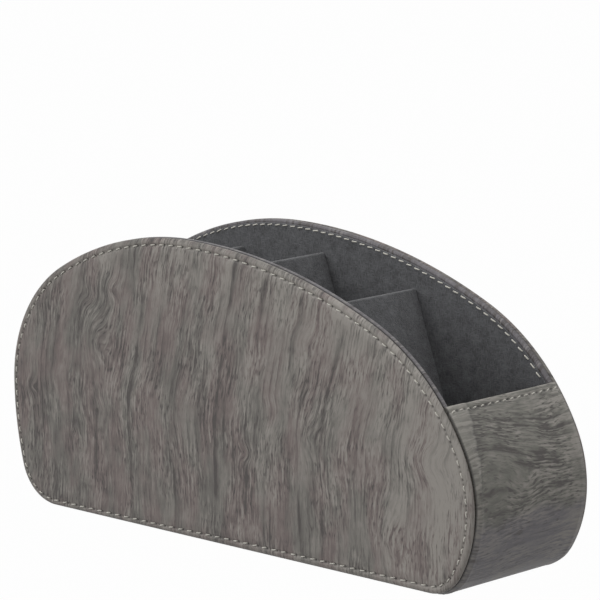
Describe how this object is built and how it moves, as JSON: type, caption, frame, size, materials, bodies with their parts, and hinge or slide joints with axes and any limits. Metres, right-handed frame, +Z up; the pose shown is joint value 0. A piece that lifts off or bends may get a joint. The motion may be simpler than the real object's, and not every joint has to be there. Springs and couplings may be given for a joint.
{
  "type": "remote control holder",
  "caption": "Free-standing dome-sided caddy in stitched wood-grain leather, with leaning felt-lined compartments that hold handheld controllers upright.",
  "frame": {"origin": "on the resting surface, under the middle of the bounding box", "axes": "+X along the holder towards its low end, -Y out of the front side panel, +Z up"},
  "size_m": [0.322, 0.088, 0.1545],
  "materials": {
    "wood_grain_leather": "printed grey wood grain, matt, pale thread border",
    "lining_felt": "dark grey brushed felt",
    "pad_felt": "near-black felt",
    "thread": "pale grey sewing thread"
  },
  "bodies": {
    "root": {"front_panel": "wood_grain_leather", "back_panel": "wood_grain_leather", "front_side_board": "wood_grain_leather", "back_side_board": "wood_grain_leather", "low_end_wall": "wood_grain_leather", "tall_end_wall": "wood_grain_leather", "base_board": "wood_grain_leather", "front_lining": "lining_felt", "back_lining": "lining_felt", "low_end_lining": "lining_felt", "tall_end_lining": "lining_felt", "floor_lining": "lining_felt", "divider_1": "lining_felt", "divider_2": "lining_felt", "divider_3": "lining_felt", "divider_4": "lining_felt", "base_pad": "pad_felt"}
  },
  "joints": []
}
